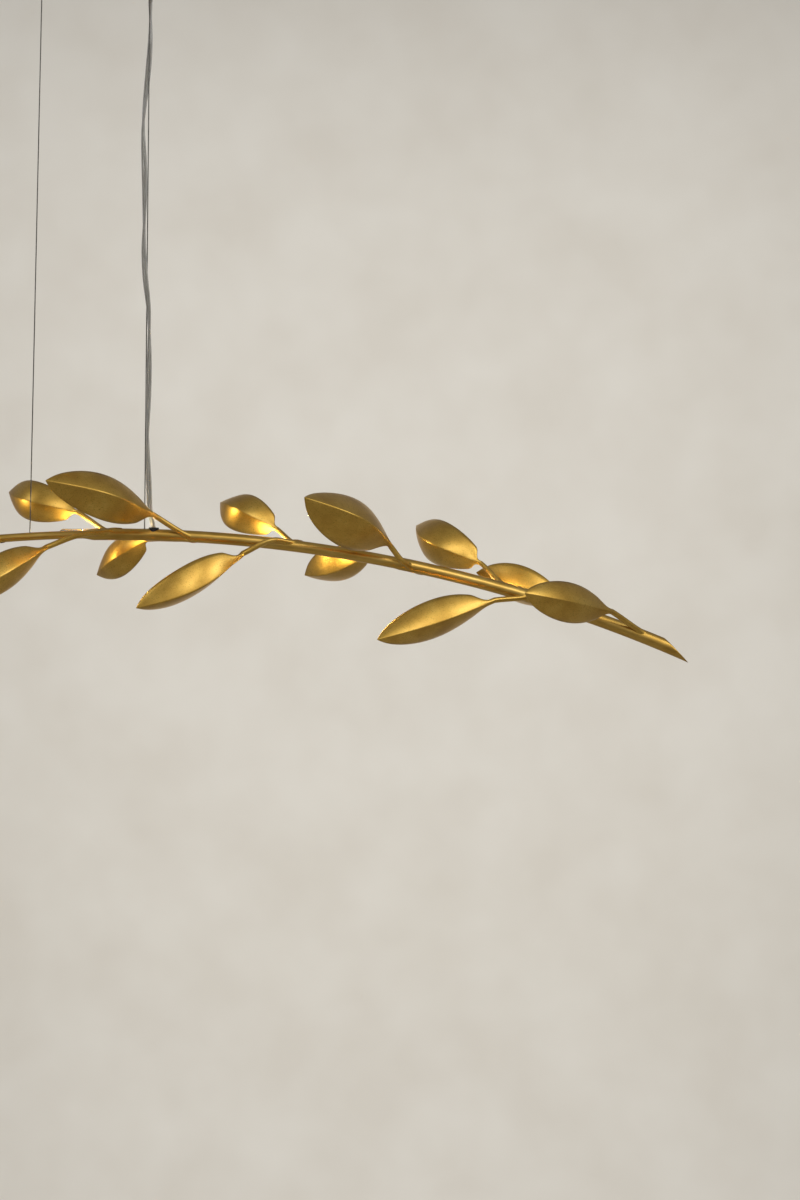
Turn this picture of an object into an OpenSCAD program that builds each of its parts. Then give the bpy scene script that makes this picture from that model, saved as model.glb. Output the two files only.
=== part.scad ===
// Pendant light: a gilded olive branch of folded metal leaves, hung on two steel wires.
// +Z is up, +X runs to the thick end of the branch and -Y faces the viewer.
// The origin is the middle of the ceiling bracket's upper face.

/* [Stem] */
// Radius of the arc that the middle of the stem follows
stem_r = 1435; // [1200:5:1800]
// Height of the arc's top below the ceiling
stem_drop = 610; // [500:5:740]
// Distance of the arc's top from the middle of the canopy
arc_top_x = 47; // [30:1:60]
// Place of the pointed right end
stem_right_x = 605.5; // [595:0.5:640]
// Place of the left end
stem_left_x = -497; // [-520:1:-470]
// Outer diameters of the five tubes, from the thick end
tube_1_d = 13.5; // [13:0.1:16]
// Second tube
tube_2_d = 12.8; // [12.2:0.1:13]
// Third tube
tube_3_d = 11.8; // [11:0.1:12.4]
// Fourth tube
tube_4_d = 8; // [7.8:0.1:9]
// Fifth tube
tube_5_d = 7; // [6.8:0.1:7.4]
// Wall of the tubes
tube_wall = 1; // [0.8:0.05:1.1]
// Angle between the slanting end cut and the tube
end_cut_deg = 23; // [18:1:40]

/* [Leaves] */
// Thickness of the leaf metal
leaf_t = 1; // [0.8:0.1:1.4]
// Diameter of the stalk of a front leaf
stalk_front_d = 5.6; // [4.4:0.1:6]
// Diameter of the stalk of a back leaf
stalk_back_d = 4.8; // [4:0.1:5.6]
// Smallest angle between a stalk and the stem where it is brazed on
lean_least = 18; // [16:1:30]
// Largest angle between a stalk and the stem
lean_most = 54; // [45:1:60]

/* [Lamps] */
// Diameter of a plug-in capsule bulb
bulb_d = 10; // [9:0.5:11]
// Length of the clear part of a bulb
bulb_l = 24; // [18:1:26]
// Length of a bulb's base
bulb_base_l = 8; // [6:0.5:10]
// Length of a ceramic socket
socket_l = 12; // [10:0.5:14]
// Distance of the lamps from the middle of the stem
lamp_off = 15; // [14:0.5:18]
// Diameter of a lamp arm
arm_d = 4; // [3.6:0.1:4.4]

/* [Suspension] */
// Diameter of a steel wire
wire_d = 1.2; // [0.8:0.1:1.4]
// Distance between the wires at the ceiling
wire_gap_top = 108; // [100:1:112]
// Distance between the wires at the stem
wire_gap_low = 114.5; // [108:0.5:120]
// Diameter of the ball on the end of a wire
stop_d = 3; // [2.8:0.1:3.2]
// Diameter of the twin-core cord
cord_d = 5.6; // [5:0.1:5.8]
// Place of the cord's grommet along the stem
grommet_x = 66.4; // [65.5:0.1:70]

/* [Ceiling set] */
// Diameter of the canopy
canopy_d = 150; // [148:1:190]
// Height of the canopy
canopy_h = 30; // [29:1:36]
// Sheet thickness of the canopy
canopy_t = 1.2; // [1:0.1:1.6]
// Rounding of the canopy's lower edge
canopy_edge = 6; // [4:0.5:8]
// Width of the ceiling bracket
bracket_w = 24; // [20:1:28]
// Thickness of the ceiling bracket
bracket_t = 2; // [1.5:0.1:2.5]
// Distance between the bracket's two slots
slot_gap = 80; // [70:1:84]
// Length of a slot
slot_l = 20; // [12:1:24]
// Width of a slot
slot_w = 5; // [4:0.5:6]
// Length of the driver
driver_l = 88; // [70:1:90]
// Width of the driver
driver_w = 32; // [28:1:34]
// Height of the driver
driver_h = 18; // [14:1:20]

/* [Grippers] */
// Outer diameter of a gripper barrel
barrel_d = 10; // [9.6:0.1:12]
// Length of a gripper barrel
barrel_l = 18; // [18:1:22]
// Diameter of a gripper's hinge pin
pin_d = 3; // [2.5:0.1:3.4]
// Depth of the hinge pins below the canopy
pin_drop = 10; // [10:0.5:12]
// Travel of a release plunger
plunger_travel = 1.5; // [1:0.1:2]
// Outer diameter of a plunger's nose
nose_d = 5; // [4.4:0.1:5.4]

/* [Hidden] */
$fn = 72;
// The stem's arc is short for its radius, so a full turn has many steps
arc_fn = 1440;

// Running and seating clearances
run_gap = 0.05;
seat_gap = 0.1;
sleeve_gap = 0.08;
braze_gap = 0.32;
eps = 0.01;

// Where one stem tube ends and the next, thinner one starts
joint_x = [424, 314, 8, -225];
tube_r = [tube_1_d, tube_2_d, tube_3_d, tube_4_d, tube_5_d] / 2;
sleeve_half = 6;
reducer_l = [6, 6, 13, 6];
tip_wall = tube_wall * 0.8;

// Lamp units: place along the stem and angle round it, from the viewer over the top
LAMPS = [[437, 178], [213, 178], [17.5, 176], [-207, 172], [-417, 172]];

// Leaves, from the thick end. Each row: place on the stem, angle of the stalk round the stem,
// blade base and blade tip as [along, towards the viewer, up] from there, turn about the leaf's
// own line, twist from base to tip, half width when flat, bow of the midrib, angle of the fold.
LEAVES = [
    [551, 38, [-33, 22, 11], [-124, 98, -5], 4, -2, 24, 11, 36],
    [549, 175, [-79, -31, 3], [-168, -67, -1], -24, -5, 30, 14, 46],
    [436, -34, [-26, 16, -14], [-126, 54, -84], -18, 17, 26, 11, 42],
    [412, 118, [-23, -16, 19], [-96, -79, 40], -17, 9, 31, 32, 45],
    [321, -2, [-21, 18, 15], [-111, 88, 42], 20, 18, 38, 26, 48],
    [322, 205, [-42, -23, 2], [-103, -74, -31], -29, 9, 26, 13, 39],
    [199, 34, [-41, 13, -14], [-135, 56, -80], -37, 26, 28, 20, 50],
    [202, 120, [-15, -20, 15], [-79, -66, 36], 3, 21, 26, 25, 40],
    [97, 22, [-28, 16, 18], [-129, 81, 45], 17, -14, 28, 22, 37],
    [97, 215, [-40, -26, -5], [-94, -66, -43], 6, 19, 23, 17, 42],
    [16, 118, [-28, -20, 23], [-106, -71, 46], -6, 1, 25, 28, 37],
    [13, 14, [-52, 15, -13], [-130, 81, -65], -20, 15, 23, 11, 38],
    [-92, 22, [-28, 15, 18], [-124, 76, 46], 17, -14, 27, 20, 36],
    [-92, 212, [-38, -24, -5], [-96, -66, -44], 8, 16, 22, 15, 40],
    [-195, 118, [-18, -20, 18], [-84, -70, 42], 3, 18, 24, 22, 38],
    [-199, 34, [-42, 13, -13], [-134, 58, -70], -36, 22, 25, 16, 48],
    [-300, 28, [-27, 16, 17], [-112, 80, 44], 16, -10, 27, 18, 38],
    [-303, 205, [-36, -20, -4], [-98, -66, -34], -24, 10, 23, 11, 36],
    [-403, 118, [-22, -18, 18], [-88, -66, 42], -8, 4, 24, 24, 38],
    [-407, -34, [-31, 14, -13], [-116, 54, -66], -18, 12, 24, 11, 40],
    [-491, 0, [-24, 0, 0], [-112, 8, 6], 6, 8, 21, 10, 34]
];
function leaf_name(i) = str("leaf_", i < 9 ? "0" : "", i + 1);
function is_front(i) = LEAVES[i][2][1] > 0;
function is_last(i) = i == len(LEAVES) - 1;

// Heights of the ceiling set
plate_z = -canopy_h;
pin_z = plate_z - pin_drop;
barrel_top = pin_z - 10;
barrel_low = barrel_top - barrel_l;
nose_low = barrel_low - 4;
lip_t = 2;
bend_z = nose_low + 1;
ear_gap = 4.3;
ear_t = 2.5;
lug_t = 4;
stud_d = 6;
cavity_r = 3.1;
spring_wire = 0.5;
bush_x = wire_gap_top / 2;
bush_y = 16;
bush_low = pin_z - 10;
bush_bore_d = cord_d + 1;

// Stem geometry
function stem_z(x) = -stem_drop - stem_r + sqrt(pow(stem_r, 2) - pow(x - arc_top_x, 2));
function stem_at(x) = [x, 0, stem_z(x)];
function stem_lean(x) = asin((x - arc_top_x) / stem_r);
function along(x) = [cos(stem_lean(x)), 0, -sin(stem_lean(x))];
function upward(x) = [sin(stem_lean(x)), 0, cos(stem_lean(x))];
function beside(x, p) = stem_at(x) + p[0] * along(x) - [0, p[1], 0] + p[2] * upward(x);
function round_stem(x, a) = sin(a) * upward(x) - cos(a) * [0, 1, 0];
function tube_no(x) = len([for (j = joint_x) if (x < j) 1]);
function outer_r(x) = tube_r[tube_no(x)];
function inner_r(x) = outer_r(x) - (tube_no(x) == 4 ? tip_wall : tube_wall);

function unit(v) = v / norm(v);
function square_to(v, t) = unit(v - t * (v * t));
function smooth(s) = s <= 0 ? 0 : s >= 1 ? 1 : s * s * (3 - 2 * s);
function sum(v) = v * [for (i = v) 1];

// Wires: where they bend at the grippers and where their ball ends sit in the stem
function side_x(s, gap) = s * gap / 2;
function bend_at(s) = [side_x(s, wire_gap_top), 0, bend_z];
function stop_rise(x) = inner_r(x) - 0.3 - stop_d / 2;
function stop_at(s) = let (x = side_x(s, wire_gap_low)) stem_at(x) + stop_rise(x) * upward(x);

// Faces of a tube of rings, each with n points in the same order
function ring_faces(rings, n) = [
    for (j = [0:rings - 2], i = [0:n - 1])
        let (a = j * n + i, b = j * n + (i + 1) % n)
        each [[a, a + n, b + n], [a, b + n, b]]
];
function start_fan(n, mid) = [for (i = [0:n - 1]) [mid, i, (i + 1) % n]];
function end_fan(first, n, mid) = [for (i = [0:n - 1]) [mid, first + (i + 1) % n, first + i]];

// A leaf is one lofted skin: the stalk's round rings open into the folded blade's rings.
// A blade ring has five points on its outer face and five on its inner one.
ACROSS = [-1, -0.55, 0, 0.55, 1];
ring_n = 2 * len(ACROSS);
stalk_rings = 6;
blade_rings = 12;
fold_curl = 24;
front_fullness = 0.85;
back_fullness = 0.62;
tip_fullness = 0.66;
tip_slope = 5;
front_opening = 0.18;
back_opening = 0.12;
end_inset = 7.5;
function round_point(i, r, s, n) = let (a = 162 - 36 * i) r * (cos(a) * s + sin(a) * n);
function tilt_at(u, fold) = fold + fold_curl * (u - 0.5);
function reach_out(u, fold) =
    (sin(tilt_at(u, fold)) - sin(tilt_at(0, fold))) * 180 / (PI * fold_curl);
function reach_down(u, fold) =
    (cos(tilt_at(0, fold)) - cos(tilt_at(u, fold))) * 180 / (PI * fold_curl);
function blade_point(i, half, t, s, n, fold) =
    let (top = i < 5, u = ACROSS[top ? i : 9 - i], m = abs(u), tilt = u == 0 ? 0 : tilt_at(m, fold),
         thick = u == 0 ? t / cos(tilt_at(0, fold)) : t,
         skin = cos(tilt) * n + (u < 0 ? -1 : 1) * sin(tilt) * s)
    half * (u < 0 ? -1 : 1) * reach_out(m, fold) * s - half * reach_down(m, fold) * n
        + (top ? 0.5 : -0.5) * thick * skin;
// The outline is full along the middle and runs straight to a sharp tip
function half_width(t, half, base_fullness) =
    let (full = pow(sin(180 * t), base_fullness + (tip_fullness - base_fullness) * smooth(t / 0.6)),
         straight = tip_slope * (1 - t))
    full <= 0 ? 0 : half * pow(pow(full, -6) + pow(straight, -6), -1 / 6);
function bezier(p, t) =
    pow(1 - t, 3) * p[0] + 3 * t * pow(1 - t, 2) * p[1] + 3 * t * t * (1 - t) * p[2]
        + pow(t, 3) * p[3];
function bezier_way(p, t) =
    unit(pow(1 - t, 2) * (p[1] - p[0]) + 2 * t * (1 - t) * (p[2] - p[1])
        + t * t * (p[3] - p[2]));

// Way a stalk leaves the stem: towards the vector v, as far as its foot allows
function stalk_way(x, v, rad, off, reach, r) =
    let (room = asin(0.85 * (reach - r) / reach),
         aside = max(-room, min(room, atan2(v * off, v * rad))),
         lean = max(lean_least, min(lean_most, atan2(norm([v * off, v * rad]), -v * along(x)))))
    sin(lean) * (cos(aside) * rad + sin(aside) * off) - cos(lean) * along(x);

// How far along way a line through p leaves the round of radius reach about the stem
function leaves_round(x, p, way, reach) =
    let (w = way - along(x) * (way * along(x)), q = p - along(x) * (p * along(x)))
    (-(q * w) + sqrt(max(0, pow(q * w, 2) - (w * w) * (q * q - reach * reach)))) / (w * w);

function leaf_points(x, a, base, tip, turn, twist, half, bow, fold, stalk_r, at_end) =
    let (b = beside(x, base), e = beside(x, tip), line = unit(e - b),
         face = square_to([0, -1, 0], line), side = cross(line, face),
         turned = [for (d = [-0.5, 0]) cos(turn + d * twist) * face + sin(turn + d * twist) * side],
         n = turned[0],
         fullness = base[1] > 0 ? front_fullness : back_fullness,
         rad = round_stem(x, a), off = cross(rad, along(x)),
         reach = outer_r(x) + braze_gap * (tube_no(x) > 2 ? 1.8 : 1),
         foot = at_end ? [0, 0, 0] : reach * rad,
         root = stem_at(x) + foot,
         way_out = at_end ? -along(x) : stalk_way(x, b - root, rad, off, reach, stalk_r),
         rn = square_to(n, way_out), rs = cross(way_out, rn),
         ring = [for (i = [0:ring_n - 1]) round_point(i, stalk_r, rs, rn)],
         far = [for (o = ring) at_end ? 0 : leaves_round(x, foot + o, way_out, reach)],
         saddle = [for (i = [0:ring_n - 1]) foot + ring[i] + far[i] * way_out],
         middle = [for (k = [0:2]) sum([for (q = saddle) q[k]]) / ring_n],
         cap = (middle * along(x)) * along(x)
             + (at_end ? [0, 0, 0] : (reach + 0.1) * unit(middle - (middle * along(x)) * along(x))),
         start = root + (at_end ? end_inset : max(far) + 0.6) * way_out,
         blade_way = unit(unit(e - b + turned[1] * bow * PI) + unit(b - start)),
         pull = norm(b - start) * 0.34,
         path = [start, start + pull * way_out, b - pull * blade_way, b])
    concat(
        [for (q = saddle) stem_at(x) + q],
        [for (j = [0:stalk_rings - 1], i = [0:ring_n - 1])
            let (t = j / stalk_rings, way = bezier_way(path, t), sn = square_to(n, way))
            bezier(path, t) + round_point(i, stalk_r, cross(way, sn), sn)],
        [for (j = [0:blade_rings], i = [0:ring_n - 1])
            let (t = 0.499 * (1 - cos(180 * j / blade_rings)),
                 open = smooth(t / (base[1] > 0 ? front_opening : back_opening)),
                 angle = turn + (t - 0.5) * twist,
                 nt = cos(angle) * face + sin(angle) * side, st = cross(line, nt),
                 mid = b + (e - b) * t + turned[1] * bow * sin(180 * t),
                 thin = leaf_t * min(1, 0.4 + 6 * (1 - t)))
            mid + (1 - open) * round_point(i, stalk_r, st, nt)
                + open * blade_point(i, half_width(t, half, fullness), thin, st, nt, fold)],
        [stem_at(x) + cap, b + (e - b) * 0.999]
    );

module leaf(i) {
    row = LEAVES[i];
    x = row[0];
    stalk_r = (tube_no(x) > 2 ? 0.9 : 1) * (is_front(i) ? stalk_front_d : stalk_back_d) / 2;
    points = leaf_points(x, row[1], row[2], row[3], row[4], row[5], row[6], row[7], row[8],
        is_last(i) ? inner_r(x) - seat_gap : stalk_r, is_last(i));
    rings = 1 + stalk_rings + blade_rings + 1;
    mid = rings * ring_n;
    color("goldenrod") polyhedron(
        points,
        concat(start_fan(ring_n, mid), ring_faces(rings, ring_n),
            end_fan((rings - 1) * ring_n, ring_n, mid + 1))
    );
}

// A tube swept along a route of points, which a smooth curve joins.
CORD_ROUTE = [
    [54, 16, -43.8], [54, 15.6, -52], [53.8, 13, -64], [53.6, 10, -76], [54.2, 7.2, -90],
    [54.7, 5, -108], [54.4, 4.2, -124], [53.5, 4, -140], [52.3, 3.6, -156], [51, 2.4, -172],
    [49.9, 1, -188], [49.4, 0, -204], [50, -0.6, -220], [51, -1.2, -236], [52.2, -2.4, -266],
    [52.3, -3, -300], [52.4, -3.4, -326], [54.5, -4.2, -354], [56.8, -4.2, -372],
    [58.7, -3.6, -392], [59.5, -2.6, -430], [59.4, -2.8, -468], [59.1, -3.4, -506],
    [59.9, -2.8, -536], [61.3, -1.6, -564], [61.9, -1, -578], [62.8, -0.4, -588],
    [64.8, 0, -597], [66.2, 0, -601.6], [66.4, 0, -604.5], [66.4, 0, -608]
];
CANOPY_ROUTE = [
    [54, 16, -43.5], [54, 16, -36], [54, 16, -29], [54.3, 16.6, -24], [55, 20, -20],
    [55, 25, -19.5], [52, 29.5, -19.5], [47, 32, -19.5], [40.3, 33, -19.5]
];
function spline(p, i, t) =
    let (a = p[max(i - 1, 0)], b = p[i], c = p[i + 1], d = p[min(i + 2, len(p) - 1)])
    0.5 * (2 * b + (c - a) * t + (2 * a - 5 * b + 4 * c - d) * t * t
        + (3 * b - a - 3 * c + d) * t * t * t);
function fine_route(p, steps) = concat(
    [for (i = [0:len(p) - 2], k = [0:steps - 1]) spline(p, i, k / steps)],
    [p[len(p) - 1]]
);
function way_at(p, i) = unit(p[min(i + 1, len(p) - 1)] - p[max(i - 1, 0)]);
function sweep_points(p, r, n, up) = [
    for (i = [0:len(p) - 1], k = [0:n - 1])
        let (w = way_at(p, i), u = square_to(up, w), s = cross(w, u), a = -360 * k / n)
        p[i] + r * (cos(a) * s + sin(a) * u)
];
module sweep(p, r, n, up) {
    count = len(p);
    polyhedron(
        concat(sweep_points(p, r, n, up), [p[0], p[count - 1]]),
        concat(start_fan(n, count * n), ring_faces(count, n),
            end_fan((count - 1) * n, n, count * n + 1))
    );
}

// Places its children on the stem: x along it, z away from its arc
module on_stem(x) {
    translate(stem_at(x)) rotate([0, stem_lean(x), 0]) children();
}

// Turns a solid whose axis is Z to point round the stem at angle a
module point_round(a) {
    rotate([90 - a, 0, 0]) children();
}

module arc_ring(x0, x1, r_out, r_in, rise = 0) {
    a0 = stem_lean(x0);
    a1 = stem_lean(x1);
    translate([arc_top_x, 0, -stem_drop - stem_r])
        rotate([90, 0, 0])
            rotate_extrude(angle = a1 - a0, start = 90 - a1, $fn = arc_fn)
                translate([stem_r + rise, 0]) difference() {
                    circle(r_out, $fn = 48);
                    if (r_in > 0) circle(r_in, $fn = 48);
                }
}

module wire_hole(s) {
    hole_r = wire_d / 2 + 0.6;
    translate(stop_at(s)) cylinder(r = hole_r, h = tube_r[0]);
}

module arm_hole(lamp) {
    on_stem(lamp[0]) point_round(lamp[1]) cylinder(d = arm_d + 2 * seat_gap, h = outer_r(lamp[0]) + 2);
}

module stem_tube(i) {
    x1 = i == 0 ? stem_right_x + 8 : joint_x[i - 1] - reducer_l[i - 1] - seat_gap;
    x0 = i == 4 ? stem_left_x : joint_x[i];
    color("darkgoldenrod") difference() {
        arc_ring(x0, x1, tube_r[i], inner_r(x0 + 1));
        for (lamp = LAMPS)
            if (lamp[0] > x0 && lamp[0] < x1) arm_hole(lamp);
        for (s = [-1, 1])
            if (side_x(s, wire_gap_low) > x0 && side_x(s, wire_gap_low) < x1) wire_hole(s);
        if (grommet_x > x0 && grommet_x < x1)
            on_stem(grommet_x) cylinder(d = grommet_neck_d + 2 * seat_gap, h = tube_r[i] + 2);
        if (i == 0) past_end_cut(0);
    }
}

// Everything beyond the slanting cut through the stem's right end
module past_end_cut(back) {
    big = 80;
    on_stem(stem_right_x) translate([0, 0, -tube_r[0]])
        rotate([0, end_cut_deg, 0]) translate([-big, -big / 2, -back]) cube([2 * big, big, big]);
}

module stem_end_plate() {
    plate_t = 1.2;
    color("darkgoldenrod") difference() {
        intersection() {
            arc_ring(stem_right_x - 60, stem_right_x + 4, inner_r(stem_right_x) - sleeve_gap, 0);
            past_end_cut(plate_t);
        }
        past_end_cut(0);
    }
}

// Stepped sleeves inside the stem's joints
module stem_sleeves() {
    for (i = [0:3]) {
        x = joint_x[i];
        thick_r = inner_r(x + 1) - sleeve_gap;
        thin_r = inner_r(x - 1) - sleeve_gap;
        bore_r = thin_r - (i == 3 ? 0.45 : 0.65);
        color("peru") {
            arc_ring(x + 0.1, x + sleeve_half, thick_r, bore_r);
            arc_ring(x - reducer_l[i] - sleeve_half, x + 1, thin_r, bore_r);
        }
    }
}

// Tapered collars between two tubes, which carry the diameter from one to the next
module stem_reducers() {
    for (i = [0:3]) {
        thin_r = outer_r(joint_x[i] - 1);
        thick_r = outer_r(joint_x[i] + 1);
        color("darkgoldenrod") on_stem(joint_x[i] - reducer_l[i] / 2) rotate([0, 90, 0]) difference() {
            translate([0, 0, -reducer_l[i] / 2])
                cylinder(r1 = thin_r, r2 = thick_r, h = reducer_l[i] - seat_gap);
            cylinder(r = inner_r(joint_x[i] - 1) + eps, h = 2 * reducer_l[i], center = true);
        }
    }
}

lead_r = 0.8;
lead_drop = 1.3;
module stem_lead() {
    color("whitesmoke") arc_ring(LAMPS[4][0] - 2, LAMPS[0][0] + 2, lead_r, 0, -lead_drop);
}

// Lamp unit: an arm from the stem's back carries a cross tube with a socket in each end
carrier_half = 4;
carrier_r = 4.5;
carrier_bore_r = 3.55;
module lamp_arm(lamp) {
    x = lamp[0];
    arm_start = inner_r(x) - 0.6;
    color("darkgoldenrod") on_stem(x) point_round(lamp[1]) difference() {
        union() {
            translate([0, 0, arm_start]) cylinder(d = arm_d, h = lamp_off - arm_start);
            translate([0, 0, lamp_off]) rotate([0, 90, 0])
                cylinder(r = carrier_r, h = 2 * carrier_half, center = true);
        }
        translate([0, 0, arm_start - 1]) cylinder(d = arm_d - 1.6, h = lamp_off);
        translate([0, 0, lamp_off]) rotate([0, 90, 0])
            cylinder(r = carrier_bore_r, h = 3 * carrier_half, center = true);
    }
}
module lamp_arms() {
    for (lamp = LAMPS) lamp_arm(lamp);
}
module at_lamps() {
    for (lamp = LAMPS, s = [0, 180])
        on_stem(lamp[0]) point_round(lamp[1]) translate([0, 0, lamp_off]) rotate([0, 90, s])
            children();
}
pin_half_gap = 2;
pin_hole_r = 0.45;
contact_r = 0.35;
contact_l = 7;
module lamp_sockets() {
    spigot_l = carrier_half - 0.5;
    color("ivory") at_lamps() difference() {
        union() {
            translate([0, 0, carrier_half + seat_gap]) cylinder(d = bulb_d, h = socket_l - seat_gap);
            translate([0, 0, carrier_half - spigot_l])
                cylinder(r = carrier_bore_r - run_gap, h = spigot_l + 1);
        }
        for (p = [-1, 1]) translate([0, p * pin_half_gap, carrier_half + socket_l - contact_l - 1])
            cylinder(r = pin_hole_r, h = contact_l + 2);
        cylinder(r = 1, h = carrier_half + 2);
    }
}
module bulbs() {
    base_z = carrier_half + socket_l + seat_gap;
    color("lightyellow") at_lamps() {
        translate([0, 0, base_z]) cylinder(d = bulb_d, h = bulb_base_l + bulb_l - bulb_d / 2);
        translate([0, 0, base_z + bulb_base_l + bulb_l - bulb_d / 2]) sphere(d = bulb_d);
        for (p = [-1, 1]) translate([0, p * pin_half_gap, base_z - contact_l])
            cylinder(r = contact_r, h = contact_l + 1);
    }
}

// Suspension wires from the grippers' mouths to the balls inside the stem
module wire(s) {
    top = bend_at(s);
    low = stop_at(s);
    run = low - top;
    lean = atan2(run[0], -run[2]);
    color("dimgray") difference() {
        union() {
            translate(top) rotate([0, 180 - lean, 0])
                cylinder(d = wire_d, h = norm(run) - stop_d / 2 + 0.4);
            translate(top) sphere(d = wire_d);
        }
        translate(low) sphere(d = stop_d + 2 * 0.02);
    }
}
module wire_stop(s) {
    color("silver") translate(stop_at(s)) sphere(d = stop_d);
}

grommet_neck_d = 7.4;
grommet_flange_d = 10.2;
module cord_grommet() {
    r = outer_r(grommet_x);
    color([0.08, 0.08, 0.08]) on_stem(grommet_x) difference() {
        union() {
            difference() {
                translate([0, 0, r - 3]) cylinder(d = grommet_flange_d, h = 4.4);
                rotate([0, 90, 0]) cylinder(r = r + 0.1, h = 30, center = true);
            }
            translate([0, 0, inner_r(grommet_x) - 0.4]) cylinder(d = grommet_neck_d, h = 2.6);
        }
        cylinder(d = cord_d + 4 * seat_gap, h = r + 5);
    }
}
module power_cord() {
    color("lightgray") sweep(fine_route(CORD_ROUTE, 2), cord_d / 2, 8, [0, 1, 0]);
}

// Ceiling bracket with two slots and two down-turned ends for the canopy's screws
bracket_half = canopy_d / 2 - canopy_t - 1.2;
tab_h = 16;
screw_z = -9;
side_hole_r = 1.65;
module slot(l, w, h) {
    cube([l - w, w, h], center = true);
    for (s = [-1, 1]) translate([s * (l - w) / 2, 0, 0]) cylinder(d = w, h = h, center = true);
}
module ceiling_bracket() {
    color("gainsboro") difference() {
        union() {
            translate([-bracket_half, -bracket_w / 2, -bracket_t])
                cube([2 * bracket_half, bracket_w, bracket_t]);
            for (s = [-1, 1]) translate([s * (bracket_half - bracket_t / 2), 0, 0]) {
                translate([-bracket_t / 2, -bracket_w / 2, screw_z])
                    cube([bracket_t, bracket_w, -screw_z]);
                translate([0, 0, screw_z]) rotate([0, 90, 0])
                    cylinder(d = bracket_w / 2, h = bracket_t, center = true);
            }
        }
        for (s = [-1, 1]) {
            translate([s * slot_gap / 2, 0, 0]) slot(slot_l, slot_w, 3 * bracket_t);
            translate([s * bracket_half, 0, screw_z]) rotate([0, 90, 0])
                cylinder(r = side_hole_r, h = 4 * bracket_t, center = true);
        }
        translate([0, bracket_w / 4, 0]) cylinder(r = earth_r, h = 4 * bracket_t, center = true);
    }
}
module canopy_side_screws() {
    wall = canopy_d / 2;
    for (s = [-1, 1]) color("gold") rotate([0, 0, s < 0 ? 180 : 0])
        translate([0, 0, screw_z]) rotate([0, 90, 0]) {
            translate([0, 0, bracket_half - bracket_t - 2])
                cylinder(r = side_hole_r - run_gap, h = wall - bracket_half + bracket_t + 2 + 0.6);
            translate([0, 0, wall + 0.1]) difference() {
                cylinder(r1 = 3.6, r2 = 2.8, h = 2);
                translate([0, 0, 1.6]) cube([8, 0.9, 1.4], center = true);
            }
        }
}

// Spun canopy, open at the ceiling
module cup_outline(r, h, c) {
    square([r - c, h]);
    translate([0, c]) square([r, h - c]);
    translate([r - c, c]) circle(c);
}
rim_gap = 0.5;
module canopy_cup() {
    r = canopy_d / 2;
    color("goldenrod") difference() {
        translate([0, 0, plate_z]) rotate_extrude() difference() {
            cup_outline(r, canopy_h - rim_gap, canopy_edge);
            translate([0, canopy_t])
                cup_outline(r - canopy_t, canopy_h, canopy_edge - canopy_t);
        }
        for (s = [-1, 1]) {
            translate([s * wire_gap_top / 2, 0, plate_z])
                cylinder(d = stud_d + 2 * seat_gap, h = 10, center = true);
            translate([s * r, 0, screw_z]) rotate([0, 90, 0])
                cylinder(r = side_hole_r + 0.4, h = 12, center = true);
        }
        translate([bush_x, bush_y, plate_z]) cylinder(d = bush_neck_d + 2 * seat_gap, h = 10, center = true);
        for (s = [-1, 1]) translate([driver_x + s * driver_hole, driver_y, plate_z])
            cylinder(r = 1.6, h = 10, center = true);
    }
}

// Fork under the canopy that carries a gripper on its pin
module clevis(s) {
    base_d = 13;
    base_t = 3;
    color("gold") translate([s * wire_gap_top / 2, 0, 0]) {
        translate([0, 0, plate_z - base_t]) cylinder(d = base_d, h = base_t - seat_gap);
        translate([0, 0, plate_z - 1]) cylinder(d = stud_d, h = 9.5);
        for (e = [-1, 1]) translate([e * (ear_gap + ear_t) / 2, 0, 0]) difference() {
            union() {
                translate([-ear_t / 2, -4, pin_z]) cube([ear_t, 8, plate_z - base_t + 0.5 - pin_z]);
                translate([0, 0, pin_z]) rotate([0, 90, 0]) cylinder(r = 4, h = ear_t, center = true);
            }
            translate([0, 0, pin_z]) rotate([0, 90, 0])
                cylinder(d = pin_d + 2 * run_gap, h = 3 * ear_t, center = true);
        }
    }
}
module clevis_nuts() {
    for (s = [-1, 1]) color("silver")
        translate([s * wire_gap_top / 2, 0, plate_z + canopy_t + seat_gap]) difference() {
            cylinder(d = 11, h = 4, $fn = 6);
            cylinder(d = stud_d + 2 * seat_gap, h = 20, center = true);
        }
}
module clevis_pins() {
    half = ear_gap / 2 + ear_t;
    for (s = [-1, 1]) color("silver") translate([s * wire_gap_top / 2, 0, pin_z]) rotate([0, 90, 0]) {
        cylinder(d = pin_d, h = 2 * half + 2, center = true);
        for (e = [-1, 1]) translate([0, 0, e * (half + 0.75)])
            cylinder(d = pin_d + 1.4, h = 1.2, center = true);
    }
}

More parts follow.
